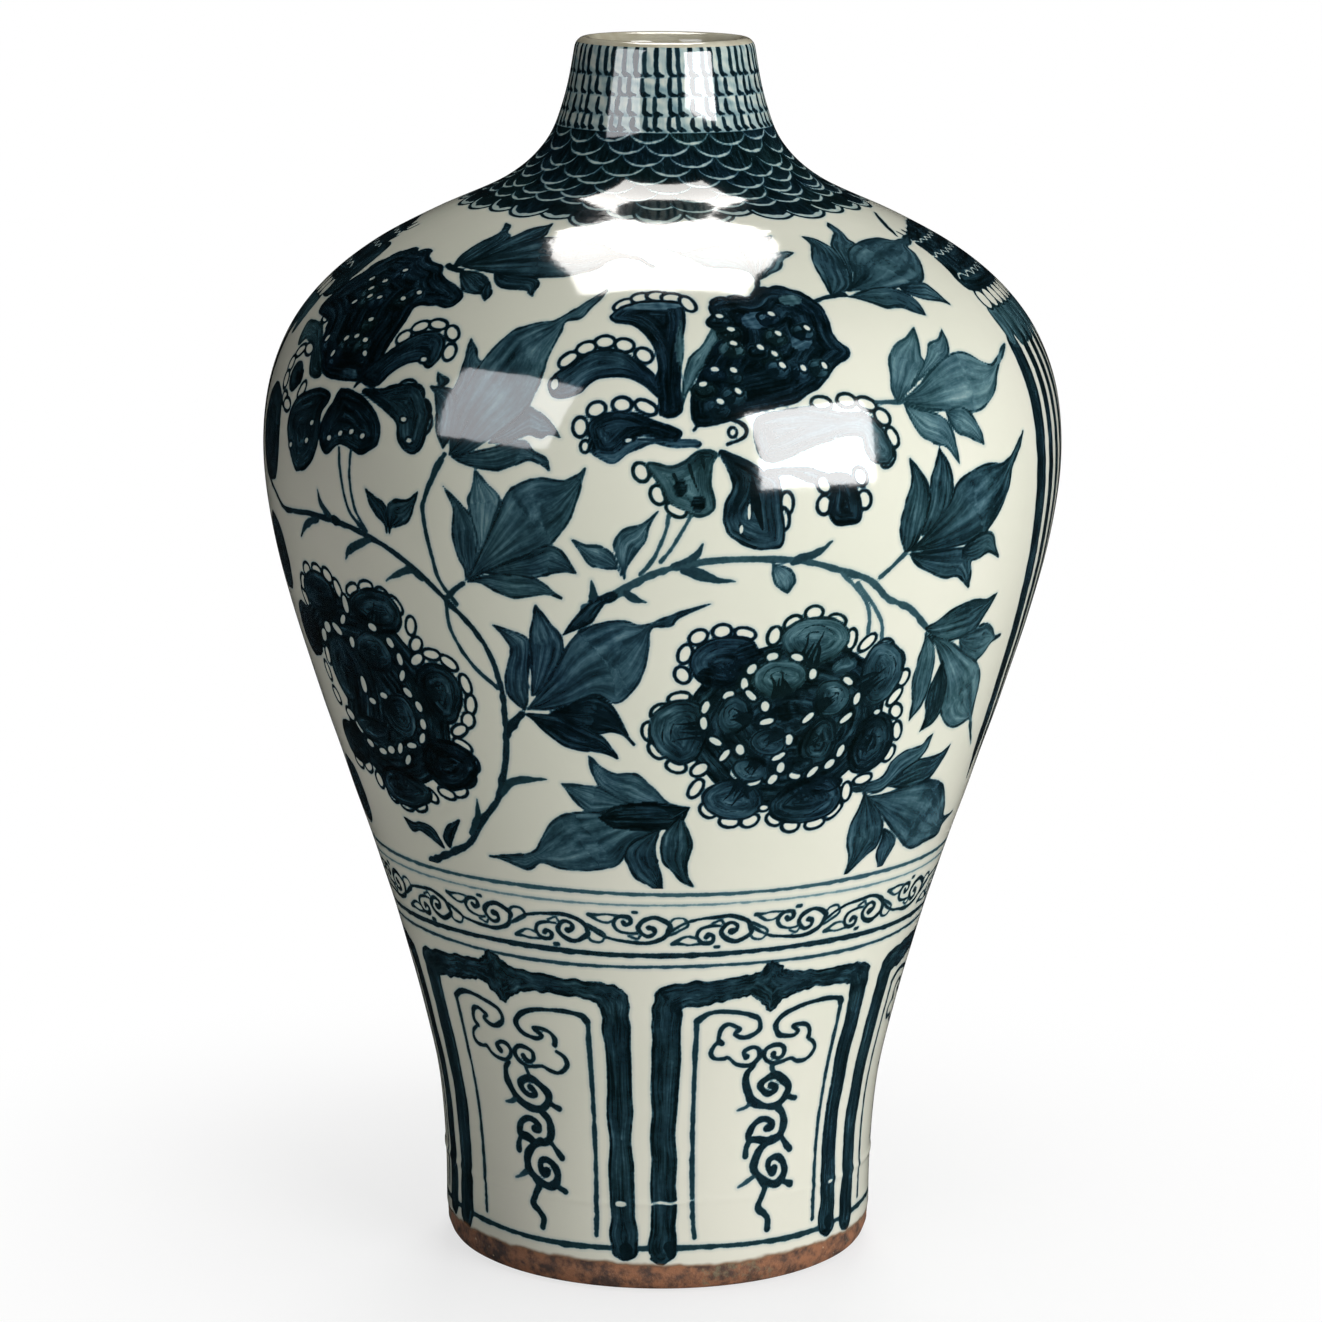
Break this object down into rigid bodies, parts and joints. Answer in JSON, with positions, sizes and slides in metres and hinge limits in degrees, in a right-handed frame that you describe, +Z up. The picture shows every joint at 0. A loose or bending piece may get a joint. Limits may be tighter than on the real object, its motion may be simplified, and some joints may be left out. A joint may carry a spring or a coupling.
{
  "type": "vase",
  "caption": "Tall baluster vase with wide round shoulders, a short neck, a small rolled mouth and a recessed unglazed foot, painted in blue under a clear glaze.",
  "frame": {"origin": "centre of the foot, on the surface that the vase stands on", "axes": "+Z up along the vase's axis of turning; -Y is the side seen in the picture; +X is to its right"},
  "size_m": [0.2742, 0.2742, 0.4204],
  "materials": {
    "biscuit": "bare fired clay, burnt orange-brown where the flame reached it",
    "slip": "dry fired slip",
    "glaze": "glossy pale green-white glaze over blue painting"
  },
  "bodies": {
    "root": {"base_plate": "biscuit", "foot_collar": "biscuit", "lower_wall": "biscuit", "belly_wall": "biscuit", "shoulder_dome": "biscuit", "neck_and_mouth": "biscuit", "slip_round_base": "slip", "slip_joint_foot": "slip", "slip_joint_waist": "slip", "slip_joint_belly": "slip", "slip_joint_neck": "slip", "glaze_coat": "glaze"}
  },
  "joints": []
}
